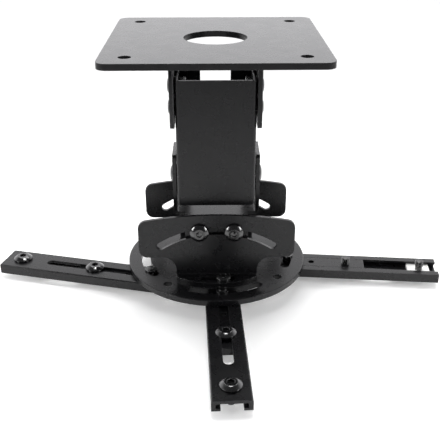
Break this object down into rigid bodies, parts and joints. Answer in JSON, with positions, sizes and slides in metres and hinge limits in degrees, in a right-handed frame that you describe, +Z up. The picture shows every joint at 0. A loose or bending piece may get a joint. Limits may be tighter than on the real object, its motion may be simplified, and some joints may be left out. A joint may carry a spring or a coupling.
{
  "type": "projector ceiling mount",
  "caption": "Black steel projector ceiling mount: square ceiling plate, channel column, tilting yoke, rolling fan bracket and swivelling slotted disc with telescoping arms.",
  "frame": {"origin": "centre of the ceiling plate's top face", "axes": "+Z up to the ceiling, +X to the right of the picture, +Y away from the camera"},
  "size_m": [0.3271, 0.232, 0.1787],
  "materials": {
    "black_steel": "semi-gloss powder coat",
    "black_bolt": "glossy black oxide",
    "white_plastic": "moulded nylon"
  },
  "bodies": {
    "ceiling_bracket": {"ceiling_plate": "black_steel", "ear_bracket_left": "black_steel", "ear_bracket_right": "black_steel", "column_channel": "black_steel", "column_bolts": "black_bolt", "column_nuts": "black_bolt", "column_washers": "black_bolt", "tilt_bolts": "black_bolt", "tilt_nuts": "black_bolt", "tilt_washers": "black_bolt"},
    "tilt_yoke": {"tilt_yoke": "black_steel", "roll_bolts": "black_bolt", "roll_nuts": "black_bolt", "roll_washers": "black_bolt"},
    "roll_bracket": {"roll_bracket": "black_steel"},
    "arm_disc": {"arm_disc": "black_steel", "lock_bolts": "black_bolt", "swivel_bolt": "black_bolt", "swivel_nut": "black_bolt"},
    "pivot_left": {"pivot_bolt_left": "black_bolt", "pivot_clip_left": "black_bolt"},
    "bar_left": {"inner_bar_left": "black_steel", "clamp_screw_left": "black_bolt"},
    "arm_left": {"outer_arm_left": "black_steel", "projector_screw_left": "black_bolt", "screw_retainer_left": "white_plastic"},
    "pivot_front": {"pivot_bolt_front": "black_bolt", "pivot_clip_front": "black_bolt"},
    "bar_front": {"inner_bar_front": "black_steel", "clamp_screw_front": "black_bolt"},
    "arm_front": {"outer_arm_front": "black_steel", "projector_screw_front": "black_bolt", "screw_retainer_front": "white_plastic"},
    "pivot_right": {"pivot_bolt_right": "black_bolt", "pivot_clip_right": "black_bolt"},
    "bar_right": {"inner_bar_right": "black_steel", "clamp_screw_right": "black_bolt"},
    "arm_right": {"outer_arm_right": "black_steel", "projector_screw_right": "black_bolt", "screw_retainer_right": "white_plastic"}
  },
  "joints": [
    {"name": "tilt", "type": "hinge", "parent": "ceiling_bracket", "child": "tilt_yoke", "pos_m": [0, 0, -0.096], "axis": [1, 0, 0], "range_deg": [-20, 20]},
    {"name": "roll", "type": "hinge", "parent": "tilt_yoke", "child": "roll_bracket", "pos_m": [0, 0, -0.19793], "axis": [0, 1, 0], "range_deg": [-23, 23]},
    {"name": "swivel", "type": "hinge", "parent": "roll_bracket", "child": "arm_disc", "pos_m": [0, 0, -0.16244], "axis": [0, 0, 1], "range_deg": [-20, 7]},
    {"name": "orbit_left", "type": "hinge", "parent": "arm_disc", "child": "pivot_left", "pos_m": [0, 0, -0.16694], "axis": [0, 0, 1], "range_deg": [-40, 4]},
    {"name": "swing_left", "type": "hinge", "parent": "pivot_left", "child": "bar_left", "pos_m": [-0.04766, -0.02319, -0.16694], "axis": [0, 0, 1], "range_deg": [-15, 15]},
    {"name": "slide_left", "type": "slide", "parent": "bar_left", "child": "arm_left", "axis": [-0.9677, 0.2521, 0], "range_m": [-0.005, 0.006]},
    {"name": "orbit_front", "type": "hinge", "parent": "arm_disc", "child": "pivot_front", "pos_m": [0, 0, -0.16694], "axis": [0, 0, 1], "range_deg": [-5, 6]},
    {"name": "swing_front", "type": "hinge", "parent": "pivot_front", "child": "bar_front", "pos_m": [0.00365, -0.05287, -0.16694], "axis": [0, 0, 1], "range_deg": [-15, 15]},
    {"name": "slide_front", "type": "slide", "parent": "bar_front", "child": "arm_front", "axis": [0.0366, -0.9993, 0], "range_m": [-0.004, 0.012]},
    {"name": "orbit_right", "type": "hinge", "parent": "arm_disc", "child": "pivot_right", "pos_m": [0, 0, -0.16694], "axis": [0, 0, 1], "range_deg": [-4, 32]},
    {"name": "swing_right", "type": "hinge", "parent": "pivot_right", "child": "bar_right", "pos_m": [0.05291, -0.0031, -0.16694], "axis": [0, 0, 1], "range_deg": [-15, 15]},
    {"name": "slide_right", "type": "slide", "parent": "bar_right", "child": "arm_right", "axis": [0.9948, -0.1019, 0], "range_m": [-0.004, 0.01]}
  ]
}
